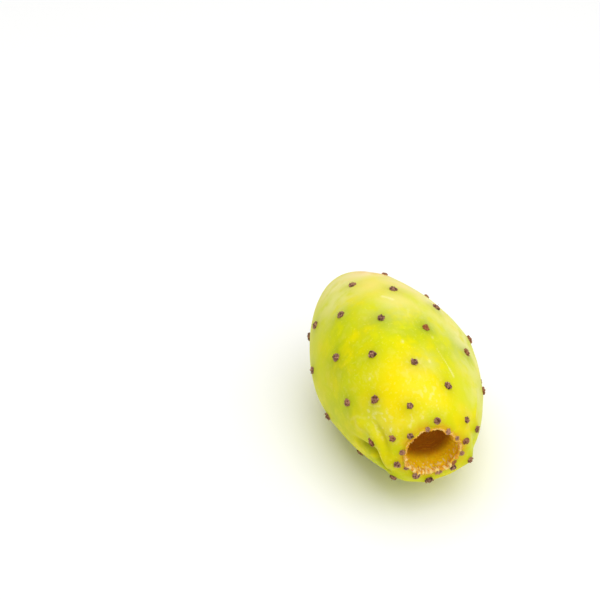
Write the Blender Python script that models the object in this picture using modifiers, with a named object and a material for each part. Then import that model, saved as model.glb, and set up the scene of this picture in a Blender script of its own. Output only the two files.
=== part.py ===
"""Prickly pear fruit, whole and unpeeled, lying on its side.

Metres, +Z up. The fruit's long axis runs along Y: the stem scar is at +Y and the
hollow cup that the flower left is at -Y. It grew as one piece, so it is one solid.
A half outline is turned about the long axis. Every ring is then moved by formula
into the fruit's own crooked shape, with its mounds and folds, and the areole knobs
are fused onto it.
"""

import math
import random

import bmesh
import bpy
import numpy as np
from mathutils import Matrix, Vector

NAME = "prickly_pear_fruit"

# Barrel: a rounded outline on each side of the widest ring
WIDEST_RADIUS = 0.0261
STEM_LENGTH = 0.0398          # widest ring to where the stem end would close
STEM_FULLNESS = 1.707         # 2 is an ellipse, less is more pointed
FLOWER_LENGTH = 0.0537        # widest ring to where the flower end would close
FLOWER_FULLNESS = 1.615
OVAL_RATIO = -0.06            # the section is an oval, narrow across this angle
OVAL_ANGLE = 55.8
LOBE_RATIO = 0.039            # and very slightly three-sided
LOBE_ANGLE = -20.0
STEM_BEND_X = -0.0047         # how far the stem end leans aside and up
STEM_BEND_Z = 0.0033
STEM_BEND_LENGTH = 0.036

# Stem scar, where the fruit was cut from its pad
SCAR_RADIUS = 0.0062
SCAR_RIM = 0.0006
SCAR_DISH = 0.0014

# Flower end: rounded shoulder, thin lip and cup
RIM_DISTANCE = 0.0424         # widest ring to the plane of the lip
RIM_LEAN = 0.069              # slope of that plane across X
RIM_LEAN_LENGTH = 0.040
SHOULDER_LENGTH = 0.0050
LIP_RADIUS = 0.00895
LIP_THICKNESS = 0.0009
LIP_HEIGHT = 0.0005
LIP_FLUTES = 11
LIP_FLUTE_DEPTH = 0.0003
CUP_DEPTH = 0.0092
CUP_FULLNESS = 2.8

# Areoles: a golden-angle spiral from near the stem to the lip
AREOLES = list(range(-8, 47)) + [49, 54]
AREOLE_ANGLE = 81.8           # of areole 0, from +X towards +Z
AREOLE_TURN = 137.53
AREOLE_PLACE = -0.0125        # along the outline from the widest ring to the flower
AREOLE_STEP = 0.00161
SPIRAL_LEAN = (0.0053, -0.0027)       # the spiral climbs round sin and cos of the angle
SPIRAL_SQUEEZE = (10.0, -4.9, -3.9)   # degrees, at both flanks and along the fruit
RIM_AREOLE = 27               # from here on they crowd round the rim
# Areoles that grew off the spiral: number, mm along the outline, degrees round it
OFF_SPIRAL = {
    -8: (-1.7, 6), 0: (1.9, 1), 5: (0, -2), 8: (1.8, 1), 10: (-2.7, -8), 18: (-4.5, -11),
    19: (2.0, -4), 23: (-2.3, -4), 26: (1.1, 3), 27: (5.7, -20), 28: (11.5, 28), 30: (15.2, -10),
    31: (4.8, 6), 32: (0.2, -6), 33: (12.2, 8), 34: (-1.1, 3), 35: (-1.7, 10), 36: (4.3, 16),
    37: (-1.6, 3), 38: (1.4, -4), 39: (0, 7), 40: (-2.6, 14), 43: (-0.8, -27), 44: (0, 11),
    45: (-1.1, 20), 46: (-1.1, -5), 49: (-1.0, 5), 54: (-5.4, 21),
}
KNOB_WIDTH = 0.0025
KNOB_HEIGHT = 0.0009
KNOB_ROOT = 0.0009
KNOB_SIDES = 7
KNOB_RINGS = 5
KNOB_JITTER = 0.07
SEED = 7

# Relief of the skin: height and reach of each form
MOUND_HEIGHT = 0.00025        # under an areole of the barrel
MOUND_REACH = 0.0032
RIM_MOUND_HEIGHT = 0.0008     # under an areole of the rim
RIM_MOUND_REACH = 0.0024
LIP_MOUND_HEIGHT = 0.0004     # under an areole on the lip itself
LIP_MOUND_FADE = 0.0030       # how deep into the cup the mounds still move its wall
# The fold beside the rim: a round ridge runs down to the rim and under the lip, with
# a deep crease along its lower side and a shallow one along its upper side. Each
# begins on plain skin and takes its rise to come to full height.
FOLD_RIDGE = [(-0.0265, 171), (-0.0303, 167), (-0.0343, 164), (-0.0374, 166),
              (-0.0392, 174), (-0.0401, 185), (-0.0409, 198)]
FOLD_HEIGHT = 0.0011
FOLD_REACH = 0.0019
FOLD_RISE = 0.004
FOLD_CREASE = [(-0.0220, 192), (-0.0260, 191), (-0.0295, 190), (-0.0330, 189),
               (-0.0364, 187), (-0.0373, 196), (-0.0384, 208)]
CREASE_DEPTH = 0.0016
CREASE_REACH = 0.0015
CREASE_RISE = 0.012
FOLD_SIDE = [(-0.0320, 155), (-0.0357, 155), (-0.0377, 157), (-0.0394, 160),
             (-0.0407, 168), (-0.0414, 180)]
SIDE_DEPTH = 0.0005
SIDE_REACH = 0.0010
SIDE_RISE = 0.005
# A shallow vertical ridge on the other flank, and the hollow behind the rim there
FLANK_RIDGE = [(-0.0250, 18), (-0.0313, 16), (-0.0357, 14)]
FLANK_HEIGHT = 0.0004
FLANK_REACH = 0.0010
FLANK_RISE = 0.002
NECK_HOLLOW = [(-0.0385, -12), (-0.0390, 4), (-0.0385, 14)]
NECK_DEPTH = 0.0012
NECK_REACH = 0.0022
# The flesh sags a little below the rim
UNDER_SAG = [(-0.0398, 240), (-0.0404, 258), (-0.0404, 285), (-0.0404, 308), (-0.0398, 324)]
SAG_HEIGHT = 0.0009
SAG_REACH = 0.0024

# Mesh density
SIDES = 60
BARREL_ROW = 0.0028
SHOULDER_ROW = 0.0012
CUP_ROW = 0.0016
FLAT_SPOT_DEPTH = 0.0008      # how much the resting side is pressed in
CUTTER_SIZE = 0.2


def barrel_radius(axial):
    """Radius of the plain barrel at a place along the axis, + towards the stem."""
    if axial >= 0:
        share, fullness = axial / STEM_LENGTH, STEM_FULLNESS
    else:
        share, fullness = -axial / FLOWER_LENGTH, FLOWER_FULLNESS
    return WIDEST_RADIUS * (1 - share ** fullness) ** (1 / fullness)


def barrel_axial(radius):
    """Place along the axis where the stem side has this radius."""
    share = (1 - (radius / WIDEST_RADIUS) ** STEM_FULLNESS) ** (1 / STEM_FULLNESS)
    return STEM_LENGTH * share


def evenly(start, end, spacing):
    """Numbers from start to end, about one spacing apart."""
    count = max(1, round(abs(end - start) / spacing))
    return [start + (end - start) * step / count for step in range(count + 1)]


def bezier(controls, count):
    """Points along a cubic curve, without its first one."""
    curve = []
    for step in range(1, count + 1):
        t = step / count
        weights = ((1 - t) ** 3, 3 * t * (1 - t) ** 2, 3 * t * t * (1 - t), t ** 3)
        axial = sum(w * p[0] for w, p in zip(weights, controls))
        radius = sum(w * p[1] for w, p in zip(weights, controls))
        curve.append((axial, radius))
    return curve


def scar_outline():
    """The scar, from its dished middle to its low rim."""
    edge = barrel_axial(SCAR_RADIUS)
    points = [(edge - SCAR_DISH, 0.0)]
    for share in (0.3, 0.55, 0.78, 0.94):
        rise = SCAR_DISH * share ** 3 + SCAR_RIM * share ** 8
        points.append((edge - SCAR_DISH + rise, SCAR_RADIUS * share))
    return points


def barrel_outline():
    """From the scar's edge, past the widest ring, to the shoulder."""
    shoulder = -(RIM_DISTANCE - SHOULDER_LENGTH)
    cap = [barrel_axial(SCAR_RADIUS * grow) for grow in (1.08, 1.4, 1.8, 2.2)]
    rows = cap[:-1] + evenly(cap[-1], shoulder, BARREL_ROW)
    return [(axial, barrel_radius(axial)) for axial in rows]


def shoulder_outline():
    """The rounded end, from the barrel to the foot of the lip."""
    start = -(RIM_DISTANCE - SHOULDER_LENGTH)
    radius = barrel_radius(start)
    slope = (radius - barrel_radius(start - 0.0001)) / 0.0001
    corner = radius - slope * SHOULDER_LENGTH
    controls = [
        (start, radius),
        (start - 0.6 * SHOULDER_LENGTH, radius - 0.6 * slope * SHOULDER_LENGTH),
        (-RIM_DISTANCE, LIP_RADIUS + 0.75 * (corner - LIP_RADIUS)),
        (-RIM_DISTANCE, LIP_RADIUS + LIP_THICKNESS / 2),
    ]
    length = SHOULDER_LENGTH + radius - LIP_RADIUS
    return bezier(controls, round(length / SHOULDER_ROW))


def lip_outline():
    """Over the thin lip, half an ellipse that stands out of the shoulder."""
    points = []
    for angle in (45, 90, 135, 180):
        radius = LIP_RADIUS + LIP_THICKNESS / 2 * math.cos(math.radians(angle))
        axial = -RIM_DISTANCE - LIP_HEIGHT * math.sin(math.radians(angle))
        points.append((axial, radius))
    return points


def cup_outline():
    """Down the steep wall of the cup and across its floor."""
    mouth = LIP_RADIUS - LIP_THICKNESS / 2
    rows = round((CUP_DEPTH + mouth) / CUP_ROW)
    points = []
    for row in range(1, rows):
        turn = math.pi / 2 * row / rows
        depth = CUP_DEPTH * math.sin(turn) ** (2 / CUP_FULLNESS)
        radius = mouth * math.cos(turn) ** (2 / CUP_FULLNESS)
        points.append((-RIM_DISTANCE + depth, radius))
    return points + [(-RIM_DISTANCE + CUP_DEPTH, 0.0)]


def whole_outline():
    """Points (axial, radius) from the scar down the outer side and into the cup."""
    points = scar_outline() + barrel_outline() + shoulder_outline()
    return np.array(points + lip_outline() + cup_outline())


def outward_directions(outline):
    """Outward direction along the outline, as (axial, radial), straight out from the lip on."""
    along = np.gradient(outline, axis=0)
    outward = np.stack([along[:, 1], -along[:, 0]], axis=1)
    outward /= np.linalg.norm(outward, axis=1)[:, None]
    outward[0] = (1, 0)
    foot = int(np.argmax(outline[:, 0] <= -RIM_DISTANCE))
    outward[foot:] = (-1, 0)
    return outward


def outline_places(outline):
    """Distance along the outline from the widest ring, + towards the flower."""
    steps = np.linalg.norm(np.diff(outline, axis=0), axis=1)
    places = np.concatenate([[0], np.cumsum(steps)])
    outside = outline[:, 0] > -0.02
    return places - np.interp(0, -outline[outside, 0], places[outside])


def in_place(axial, radius, turn):
    """Where a ring's point lies in the crooked fruit, about the widest ring's middle."""
    section = 1 + OVAL_RATIO * np.cos(2 * (turn - math.radians(OVAL_ANGLE)))
    section = section + LOBE_RATIO * np.cos(3 * (turn - math.radians(LOBE_ANGLE)))
    bend = (np.maximum(axial, 0) / STEM_BEND_LENGTH) ** 2
    lean = RIM_LEAN * np.clip(-axial / RIM_LEAN_LENGTH, 0, 1) ** 3
    x = STEM_BEND_X * bend + radius * section * np.cos(turn)
    y = axial + lean * radius * np.cos(turn)
    z = STEM_BEND_Z * bend + radius * section * np.sin(turn)
    return np.stack([x, y, z], axis=-1)


def areole_seat(number, outline, places):
    """Axial place, radius and angle of one areole on the plain outline."""
    angle = math.radians(AREOLE_ANGLE + AREOLE_TURN * number)
    place = AREOLE_PLACE + AREOLE_STEP * number
    place += SPIRAL_LEAN[0] * math.sin(angle) + SPIRAL_LEAN[1] * math.cos(angle)
    flank, along, both = SPIRAL_SQUEEZE
    squeeze = (flank + along * number / 20) * math.cos(angle) + both * math.cos(2 * angle)
    further, round_it = OFF_SPIRAL.get(number, (0, 0))
    angle += math.radians(squeeze + round_it)
    lip = int(np.argmin(outline[:, 0]))
    place = min(min(place, places[lip]) + further / 1000, places[lip])
    axial = np.interp(place, places[:lip + 1], outline[:lip + 1, 0])
    radius = np.interp(place, places[:lip + 1], outline[:lip + 1, 1])
    return float(axial), float(radius), angle


def distance_to_path(points, path):
    """Distance of each point from a chain of straight stretches."""
    nearest = np.full(len(points), 1.0)
    for start, end in zip(path[:-1], path[1:]):
        stretch = end - start
        share = np.clip((points - start) @ stretch / (stretch @ stretch), 0, 1)
        gap = np.linalg.norm(points - start - share[:, None] * stretch, axis=1)
        nearest = np.minimum(nearest, gap)
    return nearest


def bell(distance, reach):
    """A smooth bump, 1 at no distance."""
    return np.exp(-(distance / reach) ** 2)


def risen(points, start, rise):
    """How far a form has risen: 0 at its start, 1 from one rise away."""
    if rise == 0:
        return 1.0
    share = np.clip(np.linalg.norm(points - start, axis=1) / rise, 0, 1)
    return share * share * (3 - 2 * share)


def on_barrel(path):
    """Points of a path given as (axial, degrees), on the plain outside."""
    axial = np.array([place for place, angle in path])
    radius = np.array([barrel_radius(place) for place in axial])
    return in_place(axial, radius, np.radians([angle for place, angle in path]))


def relief(points, seats):
    """How far the skin stands out at each point of the plain shape."""
    height = np.zeros(len(points))
    for number, seat in seats.items():
        rim = number >= RIM_AREOLE
        tall = RIM_MOUND_HEIGHT if rim else MOUND_HEIGHT
        if seat[1] < LIP_RADIUS + LIP_THICKNESS:
            tall = LIP_MOUND_HEIGHT
        reach = RIM_MOUND_REACH if rim else MOUND_REACH
        distance = np.linalg.norm(points - in_place(*seat), axis=1)
        height = np.maximum(height, tall * bell(distance, reach))
    forms = (
        (FOLD_RIDGE, FOLD_HEIGHT, FOLD_REACH, FOLD_RISE),
        (FOLD_CREASE, -CREASE_DEPTH, CREASE_REACH, CREASE_RISE),
        (FOLD_SIDE, -SIDE_DEPTH, SIDE_REACH, SIDE_RISE),
        (FLANK_RIDGE, FLANK_HEIGHT, FLANK_REACH, FLANK_RISE),
        (NECK_HOLLOW, -NECK_DEPTH, NECK_REACH, 0),
        (UNDER_SAG, SAG_HEIGHT, SAG_REACH, 0),
    )
    for path, tall, reach, rise in forms:
        line = on_barrel(path)
        shape = risen(points, line[0], rise) * bell(distance_to_path(points, line), reach)
        height += tall * shape
    return height


def flutes(axial, radius, turn):
    """The lip is drawn in and out round its ring."""
    near_lip = bell(np.hypot(axial + RIM_DISTANCE, radius - LIP_RADIUS), 0.0014)
    wave = np.sin(LIP_FLUTES * turn) + 0.8 * np.sin((LIP_FLUTES - 4) * turn + 2.0)
    return LIP_FLUTE_DEPTH * wave * near_lip


def skin_points(axial, radius, turn, outward, seats):
    """Points of the finished skin for points of the plain outline."""
    plain = in_place(axial, radius, turn)
    depth = np.where((radius < LIP_RADIUS) & (axial < 0), axial + RIM_DISTANCE, 0.0)
    height = relief(plain, seats) * np.clip(1 - depth / LIP_MOUND_FADE, 0, 1)
    out_axial = axial + height * outward[:, 0]
    out_radius = radius + height * outward[:, 1] + flutes(axial, radius, turn)
    return in_place(out_axial, np.where(radius > 0, out_radius, 0.0), turn)


def turned(outline):
    """The half outline turned about +Z, as a closed mesh object."""
    mesh = bpy.data.meshes.new(NAME)
    points = [(radius, 0.0, axial) for axial, radius in outline]
    mesh.from_pydata(points, [(i, i + 1) for i in range(len(points) - 1)], [])
    lathe = bpy.data.objects.new(NAME, mesh)
    bpy.context.scene.collection.objects.link(lathe)
    screw = lathe.modifiers.new("turn", "SCREW")
    screw.axis = "Z"
    screw.steps = SIDES
    screw.render_steps = SIDES
    screw.use_merge_vertices = True
    screw.merge_threshold = 0.00001
    apply_modifiers(lathe)
    return lathe


def apply_modifiers(thing):
    """Replace an object's mesh by what its modifiers make of it."""
    depsgraph = bpy.context.evaluated_depsgraph_get()
    finished = bpy.data.meshes.new_from_object(thing.evaluated_get(depsgraph))
    old = thing.data
    thing.modifiers.clear()
    thing.data = finished
    bpy.data.meshes.remove(old)


def shape_skin(fruit, outline, seats):
    """Move the turned rings into the fruit's own shape, lying along Y."""
    outward = outward_directions(outline)
    vertices = fruit.data.vertices
    points = np.array([vertex.co for vertex in vertices])
    axial = points[:, 2]
    radius = np.hypot(points[:, 0], points[:, 1])
    turn = np.arctan2(-points[:, 1], points[:, 0])
    gaps = (axial[:, None] - outline[None, :, 0]) ** 2 + (radius[:, None] - outline[None, :, 1]) ** 2
    row = np.argmin(gaps, axis=1)
    moved = skin_points(axial, radius, turn, outward[row], seats)
    for vertex, place in zip(vertices, moved):
        vertex.co = place


def add_knob(number, skin_place, facing, collection, rng):
    """One areole's lumpy cushion, with its root sunk in the skin."""
    knob = bmesh.new()
    bmesh.ops.create_uvsphere(knob, u_segments=KNOB_SIDES, v_segments=KNOB_RINGS, radius=1.0)
    for vertex in knob.verts:
        vertex.co *= 1 + rng.uniform(-KNOB_JITTER, KNOB_JITTER)
    half = KNOB_WIDTH / 2 * rng.uniform(0.92, 1.1)
    tall = (KNOB_HEIGHT + KNOB_ROOT) / 2
    middle = Vector(skin_place) + Vector(facing) * (KNOB_HEIGHT - tall)
    turn = Vector(facing).to_track_quat("Z", "Y").to_matrix().to_4x4()
    spin = Matrix.Rotation(rng.uniform(0, math.tau), 4, "Z")
    size = Matrix.Diagonal((half, half * rng.uniform(0.85, 1.0), tall, 1.0))
    knob.transform(Matrix.Translation(middle) @ turn @ spin @ size)
    mesh = bpy.data.meshes.new("knob")
    knob.to_mesh(mesh)
    knob.free()
    collection.objects.link(bpy.data.objects.new(f"knob_{number}", mesh))


def add_knobs(seats, outline, collection):
    """All the areole knobs, each square to the skin that it grows from."""
    rng = random.Random(SEED)
    outward = outward_directions(outline)
    lip = int(np.argmin(outline[:, 0]))
    for number, (axial, radius, turn) in seats.items():
        gaps = np.hypot(outline[:lip + 1, 0] - axial, outline[:lip + 1, 1] - radius)
        direction = outward[int(np.argmin(gaps))]
        ring = [np.array([value]) for value in (axial, radius, turn)]
        place = skin_points(*ring, direction[None], seats)[0]
        radial = np.array([math.cos(turn), 0.0, math.sin(turn)])
        facing = direction[1] * radial + direction[0] * np.array([0.0, 1.0, 0.0])
        add_knob(number, place, facing, collection, rng)


def boolean(thing, operation, **operand):
    """Join to or cut from an object, and apply it."""
    step = thing.modifiers.new(operation.lower(), "BOOLEAN")
    step.operation = operation
    step.solver = "EXACT"
    for key, value in operand.items():
        setattr(step, key, value)
    apply_modifiers(thing)


def cut_flat_spot(fruit, helpers):
    """Press the lowest side flat, so that the fruit rests and doesn't roll."""
    lowest = min(vertex.co.z for vertex in fruit.data.vertices)
    cube = bmesh.new()
    bmesh.ops.create_cube(cube, size=CUTTER_SIZE)
    drop = lowest + FLAT_SPOT_DEPTH - CUTTER_SIZE / 2
    bmesh.ops.translate(cube, verts=cube.verts, vec=(0, 0, drop))
    mesh = bpy.data.meshes.new("flat_spot_cutter")
    cube.to_mesh(mesh)
    cube.free()
    cutter = bpy.data.objects.new("flat_spot_cutter", mesh)
    cutter.hide_render = True
    cutter.display_type = "WIRE"
    helpers.objects.link(cutter)
    bpy.context.view_layer.update()
    boolean(fruit, "DIFFERENCE", object=cutter)


def tidy_mesh(fruit):
    """Merge slivers, make triangles, and put the origin under the middle."""
    mesh = bmesh.new()
    mesh.from_mesh(fruit.data)
    bmesh.ops.remove_doubles(mesh, verts=mesh.verts, dist=0.00003)
    bmesh.ops.dissolve_degenerate(mesh, edges=mesh.edges, dist=0.00001)
    bmesh.ops.triangulate(mesh, faces=mesh.faces)
    corners = np.array([vertex.co for vertex in mesh.verts])
    low, high = corners.min(axis=0), corners.max(axis=0)
    origin = ((low[0] + high[0]) / 2, (low[1] + high[1]) / 2, low[2])
    bmesh.ops.translate(mesh, verts=mesh.verts, vec=[-value for value in origin])
    mesh.to_mesh(fruit.data)
    mesh.free()
    fruit.data.shade_smooth()
    print("origin", [round(value * 1000, 3) for value in origin], "size", (high - low) * 1000)


def skin_material():
    """Ripe skin: yellow-green, waxy and smooth."""
    material = bpy.data.materials.new("cactus_pear_skin")
    material.use_nodes = True
    shader = material.node_tree.nodes["Principled BSDF"]
    shader.inputs["Base Color"].default_value = (0.66, 0.66, 0.03, 1.0)
    shader.inputs["Roughness"].default_value = 0.42
    shader.inputs["Metallic"].default_value = 0.0
    return material


def new_collection(name):
    """A collection linked to the scene."""
    collection = bpy.data.collections.new(name)
    bpy.context.scene.collection.children.link(collection)
    return collection


def main():
    """Make the fruit."""
    for thing in list(bpy.data.objects):
        bpy.data.objects.remove(thing, do_unlink=True)
    fruit_parts = new_collection("prickly_pear")
    helpers = new_collection("helpers")
    knobs = bpy.data.collections.new("knobs")
    helpers.children.link(knobs)

    outline = whole_outline()
    places = outline_places(outline)
    seats = {number: areole_seat(number, outline, places) for number in AREOLES}
    fruit = turned(outline)
    shape_skin(fruit, outline, seats)
    add_knobs(seats, outline, knobs)
    bpy.context.view_layer.update()
    boolean(fruit, "UNION", operand_type="COLLECTION", collection=knobs)
    for knob in list(knobs.objects):
        bpy.data.objects.remove(knob, do_unlink=True)
    cut_flat_spot(fruit, helpers)
    tidy_mesh(fruit)
    bpy.context.scene.collection.objects.unlink(fruit)
    fruit_parts.objects.link(fruit)
    fruit.data.materials.clear()
    fruit.data.materials.append(skin_material())


main()
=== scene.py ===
import math
import random

import bpy
import numpy as np
from mathutils import Matrix, Vector, noise


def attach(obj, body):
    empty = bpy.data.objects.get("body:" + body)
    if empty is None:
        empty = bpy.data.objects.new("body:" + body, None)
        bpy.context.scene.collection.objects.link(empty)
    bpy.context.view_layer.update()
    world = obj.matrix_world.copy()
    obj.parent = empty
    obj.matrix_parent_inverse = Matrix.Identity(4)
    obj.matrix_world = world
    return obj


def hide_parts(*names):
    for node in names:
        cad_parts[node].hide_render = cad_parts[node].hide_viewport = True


# Prickly pear fruit, whole and unpeeled, lying on its side: how it looks.
# Lengths in the dictionaries are millimetres and angles are degrees.
# The fruit is first made straight, its long axis on Y, and a node group then
# bends it into its own crooked form. "Along" is a place on that axis, + to the
# stem, and "round" is an angle about it, from +X towards +Z.

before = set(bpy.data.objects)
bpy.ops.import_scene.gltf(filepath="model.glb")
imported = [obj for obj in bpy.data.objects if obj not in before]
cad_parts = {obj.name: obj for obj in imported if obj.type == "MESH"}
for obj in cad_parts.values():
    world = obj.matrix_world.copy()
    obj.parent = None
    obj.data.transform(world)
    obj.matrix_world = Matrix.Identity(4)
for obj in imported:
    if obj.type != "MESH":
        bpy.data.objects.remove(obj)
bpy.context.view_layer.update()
mm = 0.001
fruitNode = "prickly_pear_fruit"


# Small tools for every piece

def hexColour(code):
    channels = [int(code[start:start + 2], 16) / 255 for start in (1, 3, 5)]
    linear = [c / 12.92 if c <= 0.04045 else ((c + 0.055) / 1.055) ** 2.4 for c in channels]
    return (*linear, 1.0)


def addNode(tree, kind, settings=None, links=None):
    # links holds, for each input, a plain value, an output, or a node for its first output
    node = tree.nodes.new(kind)
    for name, value in (settings or {}).items():
        setattr(node, name, value)
    for name, source in (links or {}).items():
        source = source.outputs[0] if isinstance(source, bpy.types.Node) else source
        if isinstance(source, bpy.types.NodeSocket):
            tree.links.new(source, node.inputs[name])
        else:
            node.inputs[name].default_value = source
    return node


def inputsFor(sizes):
    # counts and the seed are whole numbers
    return {name: "NodeSocketInt" if "Count" in name or name == "Seed" else "NodeSocketFloat"
            for name in sizes}


def newTree(name, inputs):
    # a Geometry Nodes tree with a geometry, these named inputs, and a geometry out
    tree = bpy.data.node_groups.new(name, "GeometryNodeTree")
    tree.interface.new_socket("Geometry", in_out="INPUT", socket_type="NodeSocketGeometry")
    for label, kind in inputs.items():
        tree.interface.new_socket(label, in_out="INPUT", socket_type=kind)
    tree.interface.new_socket("Geometry", in_out="OUTPUT", socket_type="NodeSocketGeometry")
    return tree, tree.nodes.new("NodeGroupInput").outputs


def grow(name, mesh, tree, sizes):
    # run a tree on a mesh and keep what it makes as a plain mesh
    thing = bpy.data.objects.new(name, mesh)
    bpy.context.scene.collection.objects.link(thing)
    modifier = thing.modifiers.new(name, "NODES")
    modifier.node_group = tree
    for item in tree.interface.items_tree:
        if item.item_type == "SOCKET" and item.in_out == "INPUT" and item.name in sizes:
            modifier[item.identifier] = sizes[item.name]
    bpy.context.view_layer.update()
    finished = bpy.data.meshes.new_from_object(thing.evaluated_get(bpy.context.evaluated_depsgraph_get()))
    thing.modifiers.clear()
    thing.data = finished
    finished.name = name
    bpy.data.meshes.remove(mesh)
    print(name, len(finished.polygons), "faces")
    return thing


def newMaterial(name, painted):
    # an empty material, its tree, and the attributes painted on the piece that it reads
    material = bpy.data.materials.new(name)
    material.use_nodes = True
    tree = material.node_tree
    tree.nodes.clear()
    masks = {label: addNode(tree, "ShaderNodeAttribute", {"attribute_name": label}).outputs["Fac"]
             for label in painted}
    return material, tree, masks


def addPatterns(tree, look, kinds):
    # noise over the whole piece for each name, with lumps of the size that the look gives
    patterns = {}
    for name, (detail, rough) in kinds.items():
        place = tree.nodes.new("ShaderNodeTexCoord").outputs["Object"]
        if name + "Stretch" in look:
            place = addNode(tree, "ShaderNodeMapping", links={
                "Vector": place, "Scale": (1.0, look[name + "Stretch"], 1.0)})
        patterns[name] = addNode(tree, "ShaderNodeTexNoise", links={
            "Vector": place, "Scale": 1 / (look[name + "Size"] * mm), "Detail": detail, "Roughness": rough})
    return patterns


even = 1.0  # in place of a pattern, for a layer that only its mask shapes


def layColours(tree, look, colour, layers):
    # each layer has its colour, a pattern, the pattern's values where it starts and is full,
    # its share at both, and the mask that it keeps to
    for name, pattern, low, high, least, most, mask in layers:
        share = addNode(tree, "ShaderNodeMapRange", {"interpolation_type": "SMOOTHSTEP"},
                        {0: pattern, 1: low, 2: high, 3: least, 4: most})
        if mask is not None:
            share = addNode(tree, "ShaderNodeMath", {"operation": "MULTIPLY"}, {0: share, 1: mask})
        colour = addNode(tree, "ShaderNodeMix", {"data_type": "RGBA"},
                         {0: share, 6: colour, 7: hexColour(look[name])}).outputs[2]
    return colour


def declare(piece):
    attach(piece, "root")
    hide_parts(fruitNode)


# The fruit's form, with the same sizes as its solid

fruitForm = {
    "middle": (-0.382, 3.331, 23.869),  # of the widest ring, in the row's frame
    "widestRadius": 26.1,
    "stemLength": 39.8, "stemFullness": 1.707,
    "flowerLength": 53.7, "flowerFullness": 1.615,
    "scarRadius": 6.2, "scarRim": 0.6, "scarDish": 1.4,
    "rimDistance": 42.4, "shoulderLength": 5.0,
    "lipRadius": 8.95, "lipThickness": 0.9, "lipHeight": 0.5,
    "cupDepth": 9.2, "cupFullness": 2.8,
}

crookedForm = {
    "Middle": [value * mm for value in fruitForm["middle"]],
    "Oval Ratio": -0.06, "Oval Angle": math.radians(55.8),
    "Lobe Ratio": 0.039, "Lobe Angle": math.radians(-20),
    "Stem Bend X": -4.7 * mm, "Stem Bend Z": 3.3 * mm, "Stem Bend Length": 36 * mm,
    "Rim Lean": 0.069, "Rim Lean Length": 40 * mm,
}


def barrelRadius(along):
    # the stem side and the flower side are two different rounded outlines
    stemward = np.asarray(along) >= 0
    length = np.where(stemward, fruitForm["stemLength"], fruitForm["flowerLength"])
    fullness = np.where(stemward, fruitForm["stemFullness"], fruitForm["flowerFullness"])
    share = np.abs(along) / length
    return fruitForm["widestRadius"] * (1 - share ** fullness) ** (1 / fullness)


def barrelAlong(radius):
    # where the stem side has this radius
    fullness = fruitForm["stemFullness"]
    share = (1 - (radius / fruitForm["widestRadius"]) ** fullness) ** (1 / fullness)
    return fruitForm["stemLength"] * share


def lineLengths(line):
    return np.concatenate([[0], np.cumsum(np.linalg.norm(np.diff(line, axis=0), axis=1))])


def evenly(line, spacing):
    # the same line with its points an even distance apart
    run = lineLengths(line)
    stops = np.linspace(0, run[-1], max(2, round(run[-1] / spacing)) + 1)
    return np.stack([np.interp(stops, run, line[:, 0]), np.interp(stops, run, line[:, 1])], axis=1)


def barrelLine():
    # from the scar's edge past the widest ring to the shoulder
    edge = math.asin(fruitForm["scarRadius"] * 1.05 / fruitForm["widestRadius"])
    radius = fruitForm["widestRadius"] * np.sin(np.linspace(edge, math.pi / 2, 300))
    stemSide = np.stack([barrelAlong(np.minimum(radius, fruitForm["widestRadius"])), radius], axis=1)
    along = -np.linspace(0, fruitForm["rimDistance"] - fruitForm["shoulderLength"], 300)[1:]
    return np.concatenate([stemSide, np.stack([along, barrelRadius(along)], axis=1)])


def shoulderLine():
    # the rounded end, a cubic curve from the barrel to the foot of the lip
    rim, length, lip = -fruitForm["rimDistance"], fruitForm["shoulderLength"], fruitForm["lipRadius"]
    radius = barrelRadius(rim + length)
    slope = (radius - barrelRadius(rim + length - 0.1)) / 0.1
    corner = radius - slope * length
    controls = np.array([
        (rim + length, radius),
        (rim + 0.4 * length, radius - 0.6 * slope * length),
        (rim, lip + 0.75 * (corner - lip)),
        (rim, lip + fruitForm["lipThickness"] / 2),
    ])
    t = np.linspace(0, 1, 120)[:, None]
    weights = np.concatenate([(1 - t) ** 3, 3 * t * (1 - t) ** 2, 3 * t * t * (1 - t), t ** 3], axis=1)
    return weights @ controls


def lipLine():
    # over the thin lip, half an ellipse that stands out of the shoulder
    turn = np.linspace(0, math.pi, 60)
    along = -fruitForm["rimDistance"] - fruitForm["lipHeight"] * np.sin(turn)
    return np.stack([along, fruitForm["lipRadius"] + fruitForm["lipThickness"] / 2 * np.cos(turn)], axis=1)


def cupLine():
    # down the steep wall of the cup and across its floor
    mouth = fruitForm["lipRadius"] - fruitForm["lipThickness"] / 2
    turn = np.linspace(0, math.pi / 2, 200)
    power = 2 / fruitForm["cupFullness"]
    along = -fruitForm["rimDistance"] + fruitForm["cupDepth"] * np.sin(turn) ** power
    return np.stack([along, mouth * np.cos(turn).clip(0, 1) ** power], axis=1)


def scarLine():
    # the scar, from its dished middle to its low rim
    share = np.linspace(0, 1, 60)
    along = barrelAlong(fruitForm["scarRadius"]) - fruitForm["scarDish"] * (1 - share ** 3)
    return np.stack([along + fruitForm["scarRim"] * share ** 8, fruitForm["scarRadius"] * share], axis=1)


def joinLines(*lines):
    return np.concatenate([lines[0]] + [line[1:] for line in lines[1:]])


def outwardOf(line):
    # square to the line, away from the flesh
    step = np.gradient(line, axis=0)
    outward = np.stack([step[:, 1], -step[:, 0]], axis=1)
    return outward / np.linalg.norm(outward, axis=1)[:, None]


def turnedPoints(line, round):
    # the line's points turned about Y, as rings of points
    radius, along = line[:, 1][:, None], line[:, 0][:, None]
    return np.stack([radius * np.cos(round), along + 0 * round, radius * np.sin(round)], axis=-1)


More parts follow.
